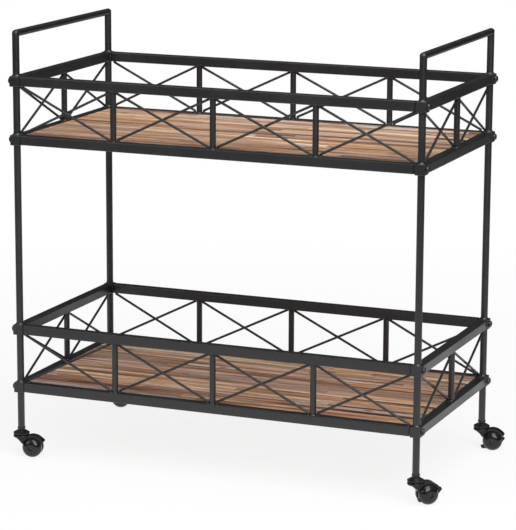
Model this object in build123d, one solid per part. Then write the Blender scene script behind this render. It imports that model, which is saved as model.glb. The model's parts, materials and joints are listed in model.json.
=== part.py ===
from build123d import *
import math
import os

os.makedirs("parts", exist_ok=True)

# Bar cart on four swivel casters, millimetres, floor at Z = 0, front towards -Y

# Spacing and heights of the frame
leg_spacing_x = 840.0
leg_spacing_y = 416.0
cart_height = 864.0
upper_top_rail_top = 772.8
upper_shelf_rail_top = 656.3
lower_top_rail_top = 272.8
lower_shelf_rail_top = 153.8

# Leg and handle tube
leg_tube_diameter = 14.0
leg_tube_wall = 1.5

# Square rails
rail_size = 19.0
rail_wall = 1.2
rail_corner_radius = 2.0

# Corner blocks around the legs
block_size = 21.5
block_rise = 0.5
block_drop = 1.6
block_edge_radius = 2.0
block_collar_height = 3.0
block_collar_width = 2.4
weld_clearance = 0.05

# Gallery uprights and crossed rods
upright_diameter = 12.0
upright_wall = 1.2
bays_long = 4
bays_short = 2
rod_diameter = 5.0
rod_crossing_gap = 0.2
rod_end_inset = 3.2
rod_foot_height = 4.0
rod_head_height = 2.6

# Plugs in the rail ends, and the bolts through the corner blocks
plug_neck_length = 2.0
plug_grip_length = 18.0
plug_clearance = 0.1
bolt_diameter = 6.0
bolt_clearance = 0.1
bolt_head_diameter = 13.2
bolt_head_height = 5.6
bolt_head_round = 3.4
bolt_socket_width = 4.0
bolt_socket_depth = 2.4
bolt_thread_grip = 12.0

# Wooden shelf boards, their tabs and screws
board_thickness = 14.0
board_gap = 2.0
board_drop = 0.5
board_edge_round = 1.0
tab_width = 30.0
tab_reach = 22.0
tab_thickness = 2.4
tab_corner_radius = 4.0
tab_hole_setback = 8.0
screw_diameter = 4.0
screw_length = 12.0
screw_head_diameter = 8.0
screw_head_height = 2.0
screw_clearance = 0.05

# Inserts in the leg ends
insert_collar_diameter = 16.0
insert_collar_height = 4.5
insert_spigot_length = 30.0
insert_clearance = 0.1

# Swivel stems and caps above the casters
stem_diameter = 8.0
stem_clearance = 0.05
stem_ring_diameter = 10.0
stem_ring_height = 1.2
stem_ring_play = 0.4
stem_insert_depth = 24.0
cap_diameter = 33.0
cap_undercut = 1.5
cap_lip_height = 3.9
cap_cone_height = 6.0
cap_neck_diameter = 14.0
cap_neck_height = 1.4
swivel_gap = 0.6

# Caster housing
caster_offset = 23.5
boss_diameter = 33.0
boss_height = 4.8
boss_below_wheel_top = 0.2
boss_round = 1.5
stem_socket_depth = 6.9
hood_thickness = 4.3
hood_width = 17.0
hood_tip_angle = 27.0
hood_lead_angle = 163.0
hood_lead_wall = 1.3
hood_boss_angle = 118.0
hood_brim_angle = 22.0
hood_brim_rise = 1.4
web_thickness = 7.2
web_hub_diameter = 24.0
neck_front_reach = 14.4
neck_sag = 1.2

# Ball shaped twin wheels
wheel_diameter = 40.0
wheel_gap = 8.0
wheel_tread_width = 5.0
wheel_dome_height = 10.8
wheel_hub_diameter = 9.0
wheel_hub_depth = 1.8
wheel_rim_wall = 3.5
wheel_boss_diameter = 14.0
wheel_recess_depth = 5.0
wheel_clearance = 0.7
axle_diameter = 4.0
axle_clearance = 0.06
axle_end_setback = 0.6

# Brake bars that slide between the wheels of the right hand casters
brake_slope = 25.0
brake_below_axle = 5.0
brake_bar_height = 4.6
brake_bar_thickness = 3.6
brake_bar_length = 51.5
brake_travel = 6.2
brake_out_reach = 29.9
brake_pad_thickness = 6.4
brake_toe_rise = 1.2
brake_toe_depth = 4.0
brake_toe_length = 8.3
brake_heel_depth = 10.9
brake_heel_length = 24.5
brake_heel_root = 10.5
brake_clearance = 0.25

# Swivel angles as the casters stand, degrees from +X
swivel_angle = {
    "front_left": 12.0,
    "front_right": 42.0,
    "back_left": 12.0,
    "back_right": 10.0,
}
corner_side = {
    "front_left": (-1, -1),
    "front_right": (1, -1),
    "back_left": (-1, 1),
    "back_right": (1, 1),
}
brake_pushed_in = {"front_right": False, "back_right": True}

# Places worked out from the sizes
leg_x = leg_spacing_x / 2
leg_y = leg_spacing_y / 2
leg_radius = leg_tube_diameter / 2
handle_axis_z = cart_height - leg_radius
block_height = rail_size + block_rise + block_drop
block_face_x = leg_x - block_size / 2
block_face_y = leg_y - block_size / 2
rail_end_x = block_face_x - plug_neck_length
bolt_radius = bolt_diameter / 2
bolt_hole_radius = bolt_radius + bolt_clearance
wheel_radius = wheel_diameter / 2
boss_bottom = wheel_diameter - boss_below_wheel_top
boss_top = boss_bottom + boss_height
cap_bottom = boss_top + swivel_gap
cap_top = cap_bottom + cap_lip_height + cap_cone_height + cap_neck_height
leg_bottom = cap_top + insert_collar_height
rail_levels = {
    "upper_top": upper_top_rail_top,
    "upper_shelf": upper_shelf_rail_top,
    "lower_top": lower_top_rail_top,
    "lower_shelf": lower_shelf_rail_top,
}
tiers = {
    "upper": (upper_shelf_rail_top, upper_top_rail_top - rail_size),
    "lower": (lower_shelf_rail_top, lower_top_rail_top - rail_size),
}
long_uprights_x = [leg_spacing_x * (i / bays_long - 0.5) for i in range(1, bays_long)]
short_uprights_y = [leg_spacing_y * (i / bays_short - 0.5) for i in range(1, bays_short)]
low = (Align.CENTER, Align.CENTER, Align.MIN)
high = (Align.CENTER, Align.CENTER, Align.MAX)


def save(name, solids):
    shape = solids[0] if len(solids) == 1 else Compound(children=solids)
    export_step(shape, f"parts/{name}.step")


def rail_axis_z(rail_top):
    return rail_top - rail_size / 2


# Handle and leg tubes, one arch at each end with rounded corners
def leg_post(radius, y, bottom):
    return Pos(0, y, bottom) * Cylinder(radius, handle_axis_z - bottom, align=low)


def handle_bar(radius):
    return Pos(0, 0, handle_axis_z) * Rot(90, 0, 0) * Cylinder(radius, leg_spacing_y)


def handle_legs(x):
    inner_radius = leg_radius - leg_tube_wall
    tube = handle_bar(leg_radius)
    for y in (-leg_y, leg_y):
        tube += leg_post(leg_radius, y, leg_bottom) + Pos(0, y, handle_axis_z) * Sphere(leg_radius)
    tube -= handle_bar(inner_radius)
    for y in (-leg_y, leg_y):
        tube -= leg_post(inner_radius, y, leg_bottom - leg_tube_wall)
        for rail_top in rail_levels.values():
            bore = Rot(0, 90, 0) * Cylinder(bolt_hole_radius, 2 * leg_tube_diameter)
            tube -= Pos(0, y, rail_axis_z(rail_top)) * bore
    return Pos(x, 0, 0) * tube


# Corner block with its weld collar, bored for the leg and the bolt
def corner_block(x, y, rail_top):
    block = Box(block_size, block_size, block_height)
    block = fillet(block.edges(), block_edge_radius)
    collar = Cone(leg_radius + block_collar_width, leg_radius + 4 * weld_clearance, block_collar_height, align=low)
    block += Pos(0, 0, block_height / 2) * collar
    block -= Cylinder(leg_radius + weld_clearance, 3 * block_height)
    middle_z = rail_top + block_rise - block_height / 2
    bore = Rot(0, 90, 0) * Cylinder(bolt_hole_radius, 2 * block_size)
    block -= Pos(0, 0, rail_axis_z(rail_top) - middle_z) * bore
    return Pos(x, y, middle_z) * block


# Square rail tube along X or Y
def rail_bore_profile(clearance):
    size = rail_size - 2 * rail_wall - 2 * clearance
    return RectangleRounded(size, size, rail_corner_radius - rail_wall / 2)


def rail_profile():
    return RectangleRounded(rail_size, rail_size, rail_corner_radius) - rail_bore_profile(0)


def long_rail(y, rail_top):
    tube = extrude(Plane.YZ * rail_profile(), rail_end_x, both=True)
    return Pos(0, y, rail_axis_z(rail_top)) * tube


def short_rail(x, rail_top):
    tube = extrude(Plane.XZ * rail_profile(), block_face_y, both=True)
    return Pos(x, 0, rail_axis_z(rail_top)) * tube


# Rail end plug between a corner block and the rail it closes
def rail_plug(side, y, rail_top):
    length = plug_neck_length + plug_grip_length
    plug = extrude(Plane.YZ * rail_bore_profile(plug_clearance), length / 2, both=True)
    plug -= Rot(0, 90, 0) * Cylinder(bolt_radius + weld_clearance, 2 * length)
    return Pos(side * (block_face_x - length / 2), y, rail_axis_z(rail_top)) * plug


# Domed socket bolt through a corner block and its leg
def frame_bolt(side, y, rail_top):
    head = Cylinder(bolt_head_diameter / 2, bolt_head_height, align=low)
    head = fillet(head.edges().group_by(Axis.Z)[-1], bolt_head_round)
    socket = extrude(RegularPolygon(bolt_socket_width / 2, 6, major_radius=False), bolt_socket_depth)
    head -= Pos(0, 0, bolt_head_height - bolt_socket_depth) * socket
    shank_length = block_size + plug_neck_length + bolt_thread_grip
    bolt = head + Cylinder(bolt_radius, shank_length, align=high)
    return Pos(side * (leg_x + block_size / 2), y, rail_axis_z(rail_top)) * Rot(0, 90 * side, 0) * bolt


# Gallery uprights
def upright(x, y, low_z, high_z):
    height = high_z - low_z
    tube = Cylinder(upright_diameter / 2, height, align=low)
    tube -= Cylinder(upright_diameter / 2 - upright_wall, height, align=low)
    return Pos(x, y, low_z) * tube


# Two crossed rods filling one bay, each bent upright at its foot and head
def rod_piece(first, last):
    run = last[0] - first[0]
    rise = last[1] - first[1]
    middle = Pos((first[0] + last[0]) / 2, 0, (first[1] + last[1]) / 2)
    tilt = math.degrees(math.atan2(run, rise))
    return middle * Rot(0, tilt, 0) * Cylinder(rod_diameter / 2, math.hypot(run, rise))


def bent_rod(run, low_z, high_z):
    foot = (-run / 2, low_z + rod_foot_height)
    head = (run / 2, high_z - rod_head_height)
    rod = rod_piece((foot[0], low_z), foot) + rod_piece(foot, head) + rod_piece(head, (head[0], high_z))
    for x, z in (foot, head):
        rod += Pos(x, 0, z) * Sphere(rod_diameter / 2)
    return rod


def crossed_rods(start, end, low_z, high_z, layer):
    depth = layer * (rod_diameter + rod_crossing_gap) / 2
    rod = Pos(0, depth, 0) * bent_rod(end - start, low_z, high_z)
    return [Pos((start + end) / 2, 0, 0) * Rot(0, 0, turn) * rod for turn in (0, 180)]


def bay_edges(posts, first_face):
    reach = upright_diameter / 2 + rod_end_inset
    starts = [-first_face + rod_end_inset] + [p + reach for p in posts]
    ends = [p - reach for p in posts] + [first_face - rod_end_inset]
    return list(zip(starts, ends))


def long_rods(y, low_z, high_z):
    rods = []
    for start, end in bay_edges(long_uprights_x, rail_end_x):
        rods += [Pos(0, y, 0) * rod for rod in crossed_rods(start, end, low_z, high_z, 1)]
    return rods


def short_rods(x, low_z, high_z):
    rods = []
    for start, end in bay_edges(short_uprights_y, block_face_y):
        rods += [Pos(x, 0, 0) * Rot(0, 0, 90) * rod for rod in crossed_rods(start, end, low_z, high_z, -1)]
    return rods


# Shelf board with its tabs and screws
def tab_places():
    rail_half = rail_size / 2
    places = []
    for x in long_uprights_x:
        places.append((x, -leg_y + rail_half, 90))
        places.append((x, leg_y - rail_half, -90))
    for y in short_uprights_y:
        places.append((-leg_x + rail_half, y, 0))
        places.append((leg_x - rail_half, y, 180))
    return places


def board_bottom(rail_top):
    return rail_top - board_drop - board_thickness


def screw_spot(place, z):
    x, y, turn = place
    return Pos(x, y, z) * Rot(0, 0, turn) * Pos(tab_reach - tab_hole_setback, 0, 0)


def shelf_board(rail_top):
    length = leg_spacing_x - rail_size - 2 * board_gap
    depth = leg_spacing_y - rail_size - 2 * board_gap
    board = Box(length, depth, board_thickness, align=low)
    board = fillet(board.edges().group_by(Axis.Z)[-1], board_edge_round)
    for place in tab_places():
        pilot = Cylinder(screw_diameter / 2 + screw_clearance, screw_length + screw_clearance, align=low)
        board -= screw_spot(place, 0) * pilot
    return Pos(0, 0, board_bottom(rail_top)) * board


def shelf_tab(place, rail_top):
    x, y, turn = place
    tab = Box(tab_reach, tab_width, tab_thickness, align=(Align.MIN, Align.CENTER, Align.MAX))
    tab = fillet(tab.edges().filter_by(Axis.Z).group_by(Axis.X)[-1], tab_corner_radius)
    tab = Pos(x, y, board_bottom(rail_top)) * Rot(0, 0, turn) * tab
    hole = Cylinder(screw_diameter / 2 + screw_clearance, 4 * tab_thickness)
    return tab - screw_spot(place, board_bottom(rail_top)) * hole


def shelf_screw(place, rail_top):
    shank = Cylinder(screw_diameter / 2, tab_thickness + screw_length - screw_clearance, align=low)
    head = Cylinder(screw_head_diameter / 2, screw_head_height, align=high)
    return screw_spot(place, board_bottom(rail_top) - tab_thickness) * (shank + head)


# Leg inserts, swivel caps and stems
def leg_insert(x, y):
    insert = Pos(0, 0, cap_top) * Cylinder(insert_collar_diameter / 2, insert_collar_height, align=low)
    insert = fillet(insert.edges(), insert_collar_height / 4)
    spigot = Cylinder(leg_radius - leg_tube_wall - insert_clearance, insert_spigot_length, align=low)
    insert += Pos(0, 0, leg_bottom) * spigot
    bore = Cylinder(stem_diameter / 2 + stem_clearance, 4 * insert_spigot_length)
    return Pos(x, y, 0) * (insert - Pos(0, 0, leg_bottom) * bore)


def swivel_cap(x, y):
    bore = stem_diameter / 2 + stem_clearance
    lip_top = cap_bottom + cap_lip_height
    cone_top = lip_top + cap_cone_height
    outline = Polyline(
        (bore, cap_bottom),
        (cap_diameter / 2 - cap_undercut, cap_bottom),
        (cap_diameter / 2, cap_bottom + cap_undercut),
        (cap_diameter / 2, lip_top),
        (cap_neck_diameter / 2, cone_top),
        (cap_neck_diameter / 2, cap_top),
        (bore, cap_top),
        close=True,
    )
    return Pos(x, y, 0) * revolve(Plane.XZ * make_face(outline), Axis.Z)


def stem_ring_middle():
    return boss_bottom + boss_height / 2


def caster_stem(x, y):
    bottom = boss_top - stem_socket_depth + stem_ring_play
    top = leg_bottom + stem_insert_depth
    pin = Pos(0, 0, bottom) * Cylinder(stem_diameter / 2, top - bottom, align=low)
    ring = Pos(0, 0, stem_ring_middle()) * Cylinder(stem_ring_diameter / 2, stem_ring_height)
    return Pos(x, y, 0) * (pin + ring)


# Caster pieces, drawn with the stem on Z and the wheels trailing towards +X
def across(radius, width):
    return Pos(caster_offset, 0, wheel_radius) * Rot(90, 0, 0) * Cylinder(radius, width)


def hood_point(angle, radius):
    turn = math.radians(angle)
    return (caster_offset + radius * math.cos(turn), wheel_radius + radius * math.sin(turn))


def hood_arc(first, last, first_radius, last_radius):
    middle = hood_point((first + last) / 2, (first_radius + last_radius) / 2)
    return ThreePointArc(hood_point(first, first_radius), middle, hood_point(last, last_radius))


def brake_frame():
    return Pos(caster_offset, 0, wheel_radius) * Rot(0, -brake_slope, 0) * Pos(0, 0, -brake_below_axle)


def hood_and_neck():
    inner = wheel_radius + wheel_clearance
    outer = inner + hood_thickness
    brim_end = hood_tip_angle + hood_brim_angle
    tip = hood_point(hood_tip_angle, outer + hood_brim_rise)
    lead = hood_point(hood_lead_angle, inner + hood_lead_wall)
    neck_start = (-neck_front_reach, boss_bottom + boss_height / 4)
    neck_middle = ((neck_start[0] + lead[0]) / 2 + neck_sag, (neck_start[1] + lead[1]) / 2 + neck_sag)
    outline = [
        Line((caster_offset, wheel_radius), tip),
        hood_arc(hood_tip_angle, brim_end, outer + hood_brim_rise, outer),
        hood_arc(brim_end, hood_boss_angle, outer, outer),
        Line(hood_point(hood_boss_angle, outer), neck_start),
        ThreePointArc(neck_start, neck_middle, lead),
        Line(lead, (caster_offset, wheel_radius)),
    ]
    return extrude(Plane.XZ * make_face(Curve() + outline), hood_width / 2, both=True)


def brake_room():
    channel_width = brake_bar_thickness + 2 * brake_clearance
    channel_height = brake_bar_height + 2 * brake_clearance
    channel = Box(4 * wheel_diameter, channel_width, channel_height)
    toe_root = brake_out_reach - brake_bar_length + brake_toe_length + brake_clearance
    toe_top = brake_bar_height / 2 + brake_toe_rise + brake_clearance
    toe_bottom = -brake_bar_height / 2 - brake_toe_depth - brake_clearance
    toe_align = (Align.MAX, Align.CENTER, Align.MIN)
    toe_room = Box(2 * wheel_diameter, wheel_gap, toe_top - toe_bottom, align=toe_align)
    return brake_frame() * (channel + Pos(toe_root, 0, toe_bottom) * toe_room)


def caster_housing(braked):
    inner = wheel_radius + wheel_clearance
    boss = Pos(0, 0, boss_bottom) * Cylinder(boss_diameter / 2, boss_height, align=low)
    boss = Rot(0, 0, 180) * fillet(boss.edges(), boss_round)
    housing = hood_and_neck() + boss
    for side in (-1, 1):
        middle = side * (web_thickness / 2 + boss_diameter / 2)
        housing -= Pos(0, middle, 0) * across(inner, boss_diameter)
    housing += across(web_hub_diameter / 2, web_thickness)
    housing -= across(axle_diameter / 2, 2 * hood_width)
    bore = Cylinder(stem_diameter / 2 + stem_clearance, 2 * stem_socket_depth, align=low)
    groove = Cylinder(stem_ring_diameter / 2 + stem_ring_play, stem_ring_height + 2 * stem_ring_play)
    housing -= Pos(0, 0, boss_top - stem_socket_depth) * bore + Pos(0, 0, stem_ring_middle()) * groove
    if braked:
        housing -= brake_room()
    return housing


def caster_axle():
    return across(axle_diameter / 2, 2 * (wheel_outer_face() - wheel_hub_depth - axle_end_setback))


def wheel_outer_face():
    return wheel_gap / 2 + wheel_tread_width + wheel_dome_height


def caster_wheel(side):
    bore = axle_diameter / 2 + axle_clearance
    inner_face = wheel_gap / 2
    tread_end = inner_face + wheel_tread_width
    outer_face = wheel_outer_face()
    hub = wheel_hub_diameter / 2
    shoulder = math.radians(45)
    dome_x = hub + (wheel_radius - hub) * math.cos(shoulder)
    dome_y = tread_end + wheel_dome_height * math.sin(shoulder)
    rim = wheel_radius - wheel_rim_wall
    recess_end = inner_face + wheel_recess_depth
    inside = Polyline(
        (wheel_radius, tread_end),
        (wheel_radius, inner_face),
        (rim, inner_face),
        (rim, recess_end),
        (wheel_boss_diameter / 2, recess_end),
        (wheel_boss_diameter / 2, inner_face),
        (bore, inner_face),
        (bore, outer_face - wheel_hub_depth),
        (hub, outer_face - wheel_hub_depth),
        (hub, outer_face),
    )
    dome = ThreePointArc((hub, outer_face), (dome_x, dome_y), (wheel_radius, tread_end))
    wheel = revolve(make_face(Curve() + [inside, dome]), Axis.Y)
    turn = 0 if side > 0 else 180
    return Pos(caster_offset, 0, wheel_radius) * Rot(0, 0, turn) * wheel


def brake_bar(pushed_in):
    out_end = brake_out_reach - (brake_travel if pushed_in else 0)
    toe_end = out_end - brake_bar_length
    half = brake_bar_height / 2
    bar = Pos((out_end + toe_end) / 2, 0, 0) * Box(brake_bar_length, brake_bar_thickness, brake_bar_height)
    toe = Polyline(
        (toe_end, half + brake_toe_rise),
        (toe_end, -half),
        (toe_end + brake_toe_length, -half - brake_toe_depth),
        (toe_end + brake_toe_length, half),
        close=True,
    )
    heel = Polyline(
        (out_end, half),
        (out_end, -half),
        (out_end - brake_heel_length, -half - brake_heel_depth),
        (out_end - brake_heel_root, -half),
        (out_end - brake_heel_root, half),
        close=True,
    )
    for pad in (toe, heel):
        bar += extrude(Plane.XZ * make_face(pad), brake_pad_thickness / 2, both=True)
    return brake_frame() * bar


# Frame nodes
for side, x in (("left", -leg_x), ("right", leg_x)):
    save(f"{side}_handle_legs", [handle_legs(x)])
    corners = [(y, top) for y in (-leg_y, leg_y) for top in rail_levels.values()]
    save(f"{side}_corner_blocks", [corner_block(x, y, top) for y, top in corners])
    save(f"{side}_end_rails", [short_rail(x, top) for top in rail_levels.values()])
    posts = [(y, tier) for y in short_uprights_y for tier in tiers.values()]
    save(f"{side}_end_uprights", [upright(x, y, *tier) for y, tier in posts])
    save(f"{side}_end_cross_rods", [rod for tier in tiers.values() for rod in short_rods(x, *tier)])

for face, y in (("front", -leg_y), ("back", leg_y)):
    for level, rail_top in rail_levels.items():
        tier, kind = level.split("_")
        save(f"{tier}_{face}_{kind}_rail", [long_rail(y, rail_top)])
    for tier, span in tiers.items():
        save(f"{tier}_{face}_uprights", [upright(x, y, *span) for x in long_uprights_x])
        save(f"{tier}_{face}_cross_rods", long_rods(y, *span))

joints = [(side, y, top) for side in (-1, 1) for y in (-leg_y, leg_y) for top in rail_levels.values()]
save("rail_end_plugs", [rail_plug(*joint) for joint in joints])
save("frame_bolts", [frame_bolt(*joint) for joint in joints])

# Shelf nodes
shelves = {"upper": upper_shelf_rail_top, "lower": lower_shelf_rail_top}
for tier, rail_top in shelves.items():
    save(f"{tier}_shelf_board", [shelf_board(rail_top)])
    save(f"{tier}_shelf_tabs", [shelf_tab(place, rail_top) for place in tab_places()])
save("shelf_screws", [shelf_screw(place, top) for top in shelves.values() for place in tab_places()])

# Caster nodes
corners = [(sx * leg_x, sy * leg_y) for sx, sy in corner_side.values()]
save("leg_inserts", [leg_insert(*corner) for corner in corners])
save("swivel_caps", [swivel_cap(*corner) for corner in corners])
save("caster_stems", [caster_stem(*corner) for corner in corners])
for corner, (sx, sy) in corner_side.items():
    place = Pos(sx * leg_x, sy * leg_y, 0) * Rot(0, 0, swivel_angle[corner])
    braked = corner in brake_pushed_in
    save(f"{corner}_caster_housing", [place * caster_housing(braked)])
    save(f"{corner}_caster_axle", [place * caster_axle()])
    save(f"{corner}_caster_front_wheel", [place * caster_wheel(-1)])
    save(f"{corner}_caster_back_wheel", [place * caster_wheel(1)])
    if braked:
        save(f"{corner}_brake_bar", [place * brake_bar(brake_pushed_in[corner])])
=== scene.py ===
import bpy
import bmesh
import json
import math
import random
from mathutils import Matrix, Vector


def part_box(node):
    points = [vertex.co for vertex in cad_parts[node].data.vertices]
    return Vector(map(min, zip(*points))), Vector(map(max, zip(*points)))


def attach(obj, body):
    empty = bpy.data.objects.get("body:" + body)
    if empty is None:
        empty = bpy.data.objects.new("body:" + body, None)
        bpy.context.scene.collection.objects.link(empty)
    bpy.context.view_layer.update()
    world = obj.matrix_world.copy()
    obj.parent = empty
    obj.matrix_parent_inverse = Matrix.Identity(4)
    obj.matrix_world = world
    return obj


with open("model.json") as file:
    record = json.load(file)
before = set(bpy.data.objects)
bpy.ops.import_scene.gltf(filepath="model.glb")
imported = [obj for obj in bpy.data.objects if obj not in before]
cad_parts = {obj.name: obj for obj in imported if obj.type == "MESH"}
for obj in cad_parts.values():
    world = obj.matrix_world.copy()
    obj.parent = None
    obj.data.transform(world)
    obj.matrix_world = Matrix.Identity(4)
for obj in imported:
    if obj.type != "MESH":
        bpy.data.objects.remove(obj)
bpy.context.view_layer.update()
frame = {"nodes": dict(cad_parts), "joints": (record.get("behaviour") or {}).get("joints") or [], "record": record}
print("frame loaded:", len(frame["nodes"]), "nodes")


class Wire:  # one socket of a node tree, usable in sums
    def __init__(self, tree, socket=None):
        self.tree = tree
        self.socket = socket

    def add(self, kind, settings=None, sockets=None, out=0):  # any node: settings first, then its sockets
        node = self.tree.nodes.new(kind)
        for key, value in (settings or {}).items():
            if key == "stops":
                self.setStops(node.color_ramp, value)
            else:
                setattr(node, key, value)
        for key, value in (sockets or {}).items():
            if isinstance(value, Wire):
                self.tree.links.new(value.socket, node.inputs[key])
            else:
                node.inputs[key].default_value = value
        return Wire(self.tree, node.outputs[out])

    def setStops(self, ramp, stops):
        while len(ramp.elements) < len(stops):
            ramp.elements.new(1.0)
        for element, (place, colour) in zip(ramp.elements, stops):
            element.position = place
            element.color = (*colour, 1.0)

    def maths(self, operation, first, second=0.0):
        return self.add("ShaderNodeMath", {"operation": operation}, {0: first, 1: second})

    def __add__(self, other):
        return self.maths("ADD", self, other)

    def __radd__(self, other):
        return self.maths("ADD", other, self)

    def __sub__(self, other):
        return self.maths("SUBTRACT", self, other)

    def __rsub__(self, other):
        return self.maths("SUBTRACT", other, self)

    def __mul__(self, other):
        return self.maths("MULTIPLY", self, other)

    def __rmul__(self, other):
        return self.maths("MULTIPLY", other, self)

    def __abs__(self):
        return self.maths("ABSOLUTE", self)

    def spread(self, low, high, toLow, toHigh):  # stretches low..high to toLow..toHigh and clips
        sockets = {"Value": self, "From Min": low, "From Max": high, "To Min": toLow, "To Max": toHigh}
        return self.add("ShaderNodeMapRange", None, sockets)

    def ramp(self, *stops):
        return self.add("ShaderNodeValToRGB", {"stops": stops}, {"Fac": self})

    def paint(self, first, second):  # this value mixes two colours
        return self.add("ShaderNodeMix", {"data_type": "RGBA"}, {0: self, 6: first, 7: second}, out=2)

    def shifted(self, offset):
        return self.add("ShaderNodeVectorMath", {"operation": "ADD"}, {0: self, 1: offset})

    def stretched(self, scale):
        return self.add("ShaderNodeVectorMath", {"operation": "MULTIPLY"}, {0: self, 1: scale})

    def dimmed(self, level):  # a colour times a value
        return self.add("ShaderNodeVectorMath", {"operation": "SCALE"}, {0: self, "Scale": level})

    def cloud(self, scale, detail=3.0, rough=0.55):
        sockets = {"Vector": self, "Scale": scale, "Detail": detail, "Roughness": rough}
        return self.add("ShaderNodeTexNoise", None, sockets)

    def mottle(self, scale, detail, low, high, rough=0.55):  # noise whose range low..high fills 0..1
        return self.cloud(scale, detail, rough).spread(low, high, 0.0, 1.0)

    def bump(self, height, strength):
        return self.add("ShaderNodeBump", None, {"Strength": strength, "Distance": height, "Height": self})


def rgba(colour, level=1.0):
    return tuple(channel * level for channel in colour) + (1.0,)


pureWhite = rgba((1.0, 1.0, 1.0))


def newMaterial(name):
    material = bpy.data.materials.new(name)
    material.use_nodes = True
    shader = material.node_tree.nodes["Principled BSDF"]
    place = Wire(material.node_tree).add("ShaderNodeTexCoord", out=3)
    return material, place, shader


def feed(shader, **sockets):  # joins wires and plain values to the shader's sockets
    for name, value in sockets.items():
        target = shader.inputs[name.replace("_", " ")]
        if isinstance(value, Wire):
            value.tree.links.new(value.socket, target)
        else:
            target.default_value = value


# camera at the photograph's viewing angle
cameraLook = {
    "turn": 22.298, "rise": 12.043, "roll": 0.2736,  # degrees
    "distance": 5.0871, "target": (0.01017, -0.00264, 0.3904),
    "lens": 177.22, "sensor": 36.0, "farClip": 60.0,
}


def makeCamera(look):
    turn = math.radians(look["turn"])
    rise = math.radians(look["rise"])
    roll = math.radians(look["roll"])
    ahead = Vector((-math.sin(turn) * math.cos(rise), math.cos(turn) * math.cos(rise), -math.sin(rise)))
    right = Vector((math.cos(turn), math.sin(turn), 0.0))
    up = right.cross(ahead)
    sideways = right * math.cos(roll) + up * math.sin(roll)
    upwards = up * math.cos(roll) - right * math.sin(roll)
    data = bpy.data.cameras.new("photoCamera")
    data.sensor_fit = "HORIZONTAL"
    data.sensor_width = look["sensor"]
    data.lens = look["lens"]
    data.clip_end = look["farClip"]
    camera = bpy.data.objects.new("photoCamera", data)
    turned = Matrix((sideways, upwards, -ahead)).transposed().to_4x4()
    camera.matrix_world = Matrix.Translation(Vector(look["target"]) - ahead * look["distance"]) @ turned
    bpy.context.collection.objects.link(camera)
    bpy.context.scene.camera = camera


makeCamera(cameraLook)
print("camera set")

# white studio: soft lamps, dim walls and a white floor that keeps the shadow
studio = {
    "horizon": 0.02, "zenith": 0.4, "wallTop": 0.25, "ceilingFrom": 0.9,  # dim walls, a brighter ceiling
    "floorTone": 0.88, "floorRough": 0.9, "floorSize": 60.0,
    "nearGlow": 0.86, "glowNear": 0.7, "glowFar": 2.2,  # pure white away from the cart, its shadow kept
    "poolNear": 0.8, "poolFar": 4.15, "poolDim": 0.05,  # a painted pool of light round the cart, as metal sees it: in reflections the floor glows white near the cart and dims further out
    "aim": (0.0, 0.0, 0.4),
    "lamps": {
        "rightSoftbox": {"place": (2.3, -2.6, 2.6), "size": 2.6, "power": 112.0},
        "frontSoftbox": {"place": (-2.5, -2.9, 2.3), "size": 2.2, "power": 34.0},
        "topSoftbox": {"place": (0.75, -0.75, 3.2), "size": 2.2, "power": 56.0},
    },
}


def makeWorld(look):
    world = bpy.data.worlds.new("studioWorld")
    bpy.context.scene.world = world
    world.use_nodes = True
    tree = world.node_tree
    direction = Wire(tree).add("ShaderNodeTexCoord")
    height = direction.add("ShaderNodeSeparateXYZ", None, {0: direction}, out=2)
    level = height.spread(look["wallTop"], look["ceilingFrom"], look["horizon"], look["zenith"])
    feed(tree.nodes["Background"], Color=pureWhite, Strength=level)


def makeLamps(look):
    for name, lampLook in look["lamps"].items():
        data = bpy.data.lights.new(name, "AREA")
        data.shape = "SQUARE"
        data.size = lampLook["size"]
        data.energy = lampLook["power"]
        lamp = bpy.data.objects.new(name, data)
        lamp.location = lampLook["place"]
        aim = Vector(look["aim"]) - lamp.location
        lamp.rotation_euler = aim.to_track_quat("-Z", "Y").to_euler()
        bpy.context.collection.objects.link(lamp)


def makeFloor(look):
    half = look["floorSize"] / 2
    corners = [(-half, -half, 0), (half, -half, 0), (half, half, 0), (-half, half, 0)]
    mesh = bpy.data.meshes.new("studioFloor")
    mesh.from_pydata(corners, [], [(0, 1, 2, 3)])
    floor = bpy.data.objects.new("studioFloor", mesh)
    bpy.context.collection.objects.link(floor)
    material, place, shader = newMaterial("whiteFloor")
    feed(shader, Base_Color=rgba((look["floorTone"],) * 3))
    feed(shader, Roughness=look["floorRough"], Specular_IOR_Level=0.0)
    path = place.add("ShaderNodeLightPath")
    rays = {name: Wire(path.tree, path.socket.node.outputs[f"Is {name} Ray"])
            for name in ("Camera", "Glossy", "Transmission")}
    away = place.add("ShaderNodeVectorMath", {"operation": "LENGTH"}, {0: place}, out=1)
    glow = away.spread(look["glowNear"], look["glowFar"], look["nearGlow"], 1.0)
    # painted pool of light for glossy and transmission rays: white emission near the cart, fading to the dim
    # emission further out
    pool = away.spread(look["poolNear"], look["poolFar"], 1.0, 0.0)
    white = place.add("ShaderNodeEmission", None, {"Color": pureWhite, "Strength": 1.0})
    dim = place.add("ShaderNodeEmission", None, {"Color": rgba((look["poolDim"],) * 3), "Strength": 1.0})
    seen = place.add("ShaderNodeMixShader", None,
                     {0: rays["Camera"] * glow, 1: Wire(path.tree, shader.outputs[0]), 2: white})
    mirrored = place.add("ShaderNodeMixShader", None, {0: pool, 1: dim, 2: white})
    mixed = place.add("ShaderNodeMixShader", None,
                      {0: rays["Glossy"] + rays["Transmission"], 1: seen, 2: mirrored})
    path.tree.links.new(mixed.socket, path.tree.nodes["Material Output"].inputs["Surface"])
    mesh.materials.append(material)


bpy.context.scene.view_settings.view_transform = "Standard"
makeWorld(studio)
makeLamps(studio)
makeFloor(studio)
print("studio set")

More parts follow.
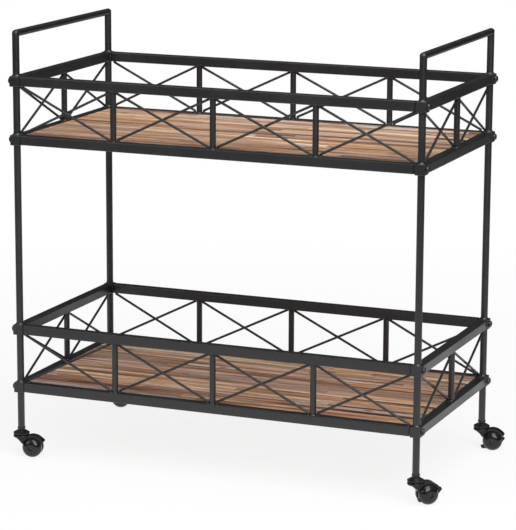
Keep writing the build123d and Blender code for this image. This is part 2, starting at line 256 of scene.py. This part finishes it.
# satin black powder coat with a fine orange peel; noise is given as scale, detail and range
coat = {
    "tone": (0.0122, 0.0122, 0.0142), "toneSwing": (0.8, 1.2), "rough": (0.3, 0.42), "shine": 0.65,
    "patch": (11.0, 5.0, 0.32, 0.68), "speck": (2600.0, 1.0, 0.35, 0.65),
    "patchInTone": 0.6, "patchInRough": 0.7,  # the specks have the rest
    "peel": (420.0, 2.0), "peelRelief": (0.00005, 0.3),
}


def powderCoat(name, look):
    material, place, shader = newMaterial(name)
    patch = place.mottle(*look["patch"])
    speck = place.mottle(*look["speck"])
    peel = place.cloud(*look["peel"])
    dark, light = (rgba(look["tone"], level) for level in look["toneSwing"])
    tone = (patch * look["patchInTone"] + speck * (1 - look["patchInTone"])).paint(dark, light)
    rough = patch * look["patchInRough"] + speck * (1 - look["patchInRough"])
    feed(shader, Base_Color=tone, Roughness=rough.spread(0.0, 1.0, *look["rough"]))
    feed(shader, Normal=peel.bump(*look["peelRelief"]))
    feed(shader, Specular_IOR_Level=look["shine"])
    return material


# moulded black plastic, glossier on the wheels than on the housings
plastic = {
    "toneSwing": (0.85, 1.2), "smear": (95.0, 4.0, 0.3, 0.7),
    "grain": (2400.0, 2.0), "grainRelief": (0.00002, 0.2),
    "plug": {"tone": (0.007, 0.007, 0.0075), "rough": (0.4, 0.55), "shine": 0.5},
    "housing": {"tone": (0.007, 0.007, 0.008), "rough": (0.2, 0.3), "shine": 0.38},
    "wheel": {"tone": (0.008, 0.008, 0.0092), "rough": (0.13, 0.22), "shine": 0.45},
}


def mouldedPlastic(name, look, kind):
    material, place, shader = newMaterial(name)
    smear = place.mottle(*look["smear"])
    grain = place.cloud(*look["grain"])
    own = look[kind]
    dark, light = (rgba(own["tone"], level) for level in look["toneSwing"])
    feed(shader, Base_Color=smear.paint(dark, light), Roughness=smear.spread(0.0, 1.0, *own["rough"]))
    feed(shader, Normal=grain.bump(*look["grainRelief"]), Specular_IOR_Level=own["shine"])
    return material


# plated steel of the axles, stems and screws
plating = {
    "pull": (1.0, 1.0, 0.08), "streak": (1500.0, 3.0, 0.3, 0.7),
    "black": {"dark": (0.05, 0.05, 0.054), "light": (0.11, 0.11, 0.115), "rough": (0.3, 0.46)},
    "zinc": {"dark": (0.34, 0.34, 0.35), "light": (0.5, 0.5, 0.5), "rough": (0.28, 0.42)},
}


def platedSteel(name, look, kind):
    material, place, shader = newMaterial(name)
    streak = place.stretched(look["pull"]).mottle(*look["streak"])
    own = look[kind]
    feed(shader, Base_Color=streak.paint(rgba(own["dark"]), rgba(own["light"])), Metallic=1.0)
    feed(shader, Roughness=streak.spread(0.0, 1.0, *own["rough"]))
    return material


# rustic boards of glued strips, each with its own tone, growth lines, pores and small knots
wood = {
    "tones": ((0.0, (0.085, 0.04, 0.025)), (0.12, (0.18, 0.09, 0.055)), (0.3, (0.33, 0.178, 0.108)),
              (0.5, (0.46, 0.268, 0.162)), (0.7, (0.56, 0.358, 0.235)), (0.88, (0.7, 0.52, 0.395)),
              (1.0, (0.8, 0.665, 0.555))),
    "toneRange": (0.12, 0.88), "ownTone": 0.55,  # what the strip gives, the shade in it has the rest
    "warm": (1.1, 0.91, 0.56), "cool": (0.95, 1.03, 1.26), "ownTint": 0.7,
    "grey": (0.42, 0.33, 0.27), "greyRange": (0.55, 0.75),
    "cream": (0.74, 0.6, 0.49), "creamBase": 0.25, "creamStreak": 0.5,
    "line": (0.075, 0.036, 0.024), "palest": (0.87, 0.83, 0.79),
    "stripsAlong": 1.7, "stagger": 9.0, "apart": 30.0,  # the grain doesn't run on from strip to strip
    "bend": {"stretch": (5.0, 20.0, 20.0), "detail": 2.0, "reach": 0.012},
    "grain": {  # scale along and across the strips, detail and range
        "shade": (3.0, 85.0, 3.0, 0.36, 0.64), "streak": (9.0, 190.0, 4.0, 0.36, 0.64),
        "fleck": (50.0, 130.0, 2.0, 0.36, 0.64), "fine": (10.0, 800.0, 4.0, 0.36, 0.64),
        "pore": (36.0, 1500.0, 2.0, 0.6, 0.68), "ray": (3.2, 80.0, 3.0, 0.6, 0.66),
    },
    "grainRough": 0.6,
    "level": {"shade": 0.25, "streak": 0.4, "fleck": 0.15, "fine": 0.2},  # shares of the grain in it
    "levelRange": (0.2, 0.8, 0.62, 1.24),
    "rings": {"stretch": (0.9, 14.0, 14.0), "count": 26.0, "edge": 0.4, "level": (0.82, 1.03)},
    "poreShade": 0.45, "sideSeam": (0.475, 0.495, 0.0, 0.35), "endSeam": (0.4975, 0.4995, 0.0, 0.4),
    "knot": {"stretch": (3.6, 9.5, 1.0), "fade": (0.015, 0.05, 0.85, 0.0)},
    "rough": (0.5, 0.66), "relief": (0.00012, 0.35), "fineRelief": 0.5, "shine": 0.3,
    # tint scales each board's colour: painted light, the lower board brightened against the shade under the upper
    # shelf
    "upper": {"shift": (4.7, 7.23, 0.7), "strips": 46.0, "greyShare": 0.22, "tint": (1.04, 1.04, 1.04)},
    "lower": {"shift": (6.4, 3.28, 0.2), "strips": 60.0, "greyShare": 0.6, "tint": (1.15, 1.16, 1.24)},
}


def stripAndEdge(position):  # number of the strip and the nearness to its edge
    return position.maths("FLOOR", position), abs(position.maths("FRACT", position) - 0.5)


def rusticWood(name, look, board):
    material, place, shader = newMaterial(name)
    place = place.shifted(board["shift"])
    along, across = (place.add("ShaderNodeSeparateXYZ", None, {0: place}, out=axis) for axis in (0, 1))
    row, sideEdge = stripAndEdge(across * board["strips"])
    start = row.add("ShaderNodeTexWhiteNoise", {"noise_dimensions": "1D"}, {"W": row})
    column, endEdge = stripAndEdge(along * look["stripsAlong"] + start * look["stagger"])
    address = row.add("ShaderNodeCombineXYZ", None, {"X": column, "Y": row})
    own = row.add("ShaderNodeTexWhiteNoise", {"noise_dimensions": "2D"}, {"Vector": address}, out=1)
    channels = (own.add("ShaderNodeSeparateColor", None, {0: own}, out=channel) for channel in range(3))
    ownTone, ownTint, ownGrey = channels
    place = place.shifted(own.dimmed(look["apart"]))
    bend = place.stretched(look["bend"]["stretch"]).cloud(1.0, look["bend"]["detail"]) - 0.5
    place = place.shifted(place.add("ShaderNodeCombineXYZ", None, {"Y": bend * look["bend"]["reach"]}))
    grain = {kind: place.stretched((length, width, width)).mottle(1.0, *noise, look["grainRough"])
             for kind, (length, width, *noise) in look["grain"].items()}
    shade, streak, pore = grain["shade"], grain["streak"], grain["pore"]

    # the strip's own tone and tint, with cream rays
    tone = ownTone * look["ownTone"] + shade * (1 - look["ownTone"])
    colour = tone.spread(*look["toneRange"], 0.0, 1.0).ramp(*look["tones"])
    greyed = ownGrey.spread(*look["greyRange"], 0.0, 1.0) * board["greyShare"]
    colour = greyed.paint(colour, rgba(look["grey"]))
    tint = ownTint * look["ownTint"] + shade * (1 - look["ownTint"])
    colour = colour.stretched(tint.paint(rgba(look["warm"]), rgba(look["cool"])))
    cream = grain["ray"] * (look["creamBase"] + streak * look["creamStreak"])
    colour = cream.paint(colour, rgba(look["cream"]))

    # lighter and darker by the grain and the growth lines
    rings = place.stretched(look["rings"]["stretch"]).cloud(1.0, 1.0) * look["rings"]["count"]
    growth = rings.maths("PINGPONG", rings, 1.0).spread(0.0, look["rings"]["edge"], 0.0, 1.0)
    level = sum(grain[kind] * share for kind, share in look["level"].items()).spread(*look["levelRange"])
    level = level * growth.spread(0.0, 1.0, *look["rings"]["level"])
    # painted light: the board's tint brightens the lower board against the upper shelf's shade
    colour = colour.dimmed(level).stretched(board["tint"])

    # pores, seams between the strips, and knots
    seam = sideEdge.spread(*look["sideSeam"]) + endEdge.spread(*look["endSeam"])
    lined = (pore * look["poreShade"] + seam).spread(0.0, 1.0, 0.0, 1.0)
    colour = lined.paint(colour, rgba(look["line"]))
    knotPlace = {"Vector": place.stretched(look["knot"]["stretch"]), "Scale": 1.0}
    knot = place.add("ShaderNodeTexVoronoi", {"voronoi_dimensions": "2D"}, knotPlace)
    colour = knot.spread(*look["knot"]["fade"]).paint(colour, rgba(look["line"]))
    colour = colour.add("ShaderNodeVectorMath", {"operation": "MINIMUM"}, {0: colour, 1: look["palest"]})

    relief = grain["fine"] * look["fineRelief"] + streak * (1 - look["fineRelief"]) - pore - seam
    feed(shader, Base_Color=colour, Roughness=streak.spread(0.0, 1.0, *look["rough"]))
    feed(shader, Normal=relief.bump(*look["relief"]), Specular_IOR_Level=look["shine"])
    return material


finishes = {
    "black_frame": powderCoat("blackPowderCoat", coat),
    "black_bolts": powderCoat("blackBoltFinish", {**coat, "rough": (0.18, 0.28), "shine": 0.6}),
    "black_plastic": mouldedPlastic("plugPlastic", plastic, "plug"),
    "caster_plastic": mouldedPlastic("casterHousingPlastic", plastic, "housing"),
    "wheel_plastic": mouldedPlastic("casterWheelPlastic", plastic, "wheel"),
    "caster_steel": platedSteel("casterSteel", plating, "black"),
    "screw_steel": platedSteel("screwSteel", plating, "zinc"),
    "upper_shelf_wood": rusticWood("upperShelfWood", wood, wood["upper"]),
    "lower_shelf_wood": rusticWood("lowerShelfWood", wood, wood["lower"]),
}
for part in frame["record"]["subparts"]:
    mesh = frame["nodes"][part["node"]].data
    mesh.materials.clear()
    mesh.materials.append(finishes[part["material_slot"]])
print("finishes set")

# raised beads: welds round the ends of uprights and rods, lips round the wheel hubs
beads = {
    "seed": 7, "steps": 32, "waves": 5, "sink": 0.0002,
    "profile": ((0.0, 0.0), (1.0, 0.0), (0.86, 0.42), (0.5, 0.8), (0.0, 1.0)),  # shares of width and height
    "uprights": {"radius": 0.006, "width": 0.0019, "height": 0.0018, "ripple": 0.12},
    "cross_rods": {"radius": 0.0025, "width": 0.0013, "height": 0.0013, "ripple": 0.14},
    "hub": {"radius": 0.0045, "width": 0.0009, "height": 0.0005, "ripple": 0.0},
}
sharpEdge = math.radians(55)
samePoint = 1e-6  # metres
sameLevel = 1e-5
beadCoat = powderCoat("weldBeadCoat", {**coat, "rough": (0.16, 0.26), "shine": 0.6})
draw = random.Random(beads["seed"])


def addBead(shape, place, look):  # a rippled ring on the local ground, its axis along local z
    phase = draw.uniform(0.0, 2 * math.pi)
    rows = []
    for step in range(beads["steps"]):
        angle = 2 * math.pi * step / beads["steps"]
        wave = math.sin(beads["waves"] * angle + phase)
        swell = 1 + look["ripple"] * (wave + draw.uniform(-1.0, 1.0)) / 2
        row = []
        for across, high in beads["profile"]:
            reach = look["radius"] - beads["sink"] + look["width"] * across * swell
            rise = look["height"] * high * swell - beads["sink"]
            point = Vector((reach * math.cos(angle), reach * math.sin(angle), rise))
            row.append(shape.verts.new(place @ point))
        rows.append(row)
    joinRows(shape, rows)


def joinRows(shape, rows):  # closed rows of points, the last joined to the first
    for row, following in zip(rows, rows[1:] + rows[:1]):
        for first, second in zip(range(len(row)), [*range(1, len(row)), 0]):
            shape.faces.new((row[first], following[first], following[second], row[second]))


def makePiece(name, shape, body, material):
    bmesh.ops.recalc_face_normals(shape, faces=shape.faces)
    mesh = bpy.data.meshes.new(name)
    shape.to_mesh(mesh)
    shape.free()
    mesh.shade_smooth()
    mesh.set_sharp_from_angle(angle=sharpEdge)
    mesh.materials.append(material)
    piece = bpy.data.objects.new(name, mesh)
    bpy.context.collection.objects.link(piece)
    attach(piece, body)


def lowestPoint(points):  # keeps the order of parts, and so the random draws, the same each time
    return min(tuple(round(value, 4) for value in point) for point in points)


def looseParts(node):  # the points of each separate solid in a frame node
    shape = bmesh.new()
    shape.from_mesh(node.data)
    bmesh.ops.remove_doubles(shape, verts=shape.verts, dist=samePoint)
    waiting = set(shape.verts)
    parts = []
    while waiting:
        edgeOfPart = [waiting.pop()]
        points = []
        while edgeOfPart:
            vertex = edgeOfPart.pop()
            points.append(node.matrix_world @ vertex.co)
            for edge in vertex.link_edges:
                other = edge.other_vert(vertex)
                if other in waiting:
                    waiting.remove(other)
                    edgeOfPart.append(other)
        parts.append(points)
    shape.free()
    return sorted(parts, key=lowestPoint)


def flatEnds(points):  # where a bar stands on the rail below and meets the rail above
    flip = Matrix.Rotation(math.pi, 4, "X")
    low = min(point.z for point in points)
    high = max(point.z for point in points)
    for level, turn in ((low, Matrix()), (high, flip)):
        rim = [point for point in points if abs(point.z - level) < sameLevel]
        yield Matrix.Translation(sum(rim, Vector()) / len(rim)) @ turn


def makeWelds():
    for kind in ("uprights", "cross_rods"):
        shape = bmesh.new()
        for name, node in sorted(frame["nodes"].items()):
            if name.endswith(kind):
                for points in looseParts(node):
                    for place in flatEnds(points):
                        addBead(shape, place, beads[kind])
        makePiece(f"{kind}_weld_beads", shape, "frame", beadCoat)


def makeHubLips():
    for joint in frame["joints"]:
        if joint["name"].endswith("wheel_spin"):
            body = joint["child"]
            words = body.split("_")
            wheel = frame["nodes"]["_".join(words[:2] + ["caster"] + words[2:])]
            hub = Vector(joint["pos_m"])
            axis = Vector(joint["axis"])
            depths = [(wheel.matrix_world @ vertex.co - hub).dot(axis) for vertex in wheel.data.vertices]
            outer = max(depths, key=abs)
            turn = (axis * outer).to_track_quat("Z", "Y").to_matrix().to_4x4()
            shape = bmesh.new()
            addBead(shape, Matrix.Translation(hub + axis * outer) @ turn, beads["hub"])
            makePiece(f"{body}_hub_lip", shape, body, finishes["wheel_plastic"])


# ground seams where the handle tubes meet their legs
handleSeam = {"radius": 0.007, "bead": 0.0004, "steps": 64, "sides": 8}


def makeHandleSeams(look):
    shape = bmesh.new()
    sideways = Vector((1.0, 0.0, 0.0))
    for name in ("left_handle_legs", "right_handle_legs"):
        low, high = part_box(name)
        for side in (-1, 1):
            edgeY = high[1] if side > 0 else low[1]
            middleX = (low[0] + high[0]) / 2
            corner = Vector((middleX, edgeY - side * look["radius"], high[2] - look["radius"]))
            outward = Vector((0.0, side, 1.0)).normalized()
            across = Vector((0.0, -side, 1.0)).normalized()
            rows = []
            for step in range(look["steps"]):
                angle = 2 * math.pi * step / look["steps"]
                stretch = math.sqrt(2) if math.sin(angle) < 0 else 1.0  # the inner half is an ellipse
                level = math.cos(angle) * sideways
                centre = corner + look["radius"] * (level + stretch * math.sin(angle) * outward)
                away = (level + math.sin(angle) / stretch * outward).normalized()
                row = []
                for turn in range(look["sides"]):
                    around = 2 * math.pi * turn / look["sides"]
                    offset = math.cos(around) * away + math.sin(around) * across
                    row.append(shape.verts.new(centre + look["bead"] * offset))
                rows.append(row)
            joinRows(shape, rows)
    makePiece("handle_corner_seams", shape, "frame", beadCoat)


makeWelds()
makeHubLips()
makeHandleSeams(handleSeam)
print("welds, hub lips and handle seams set")
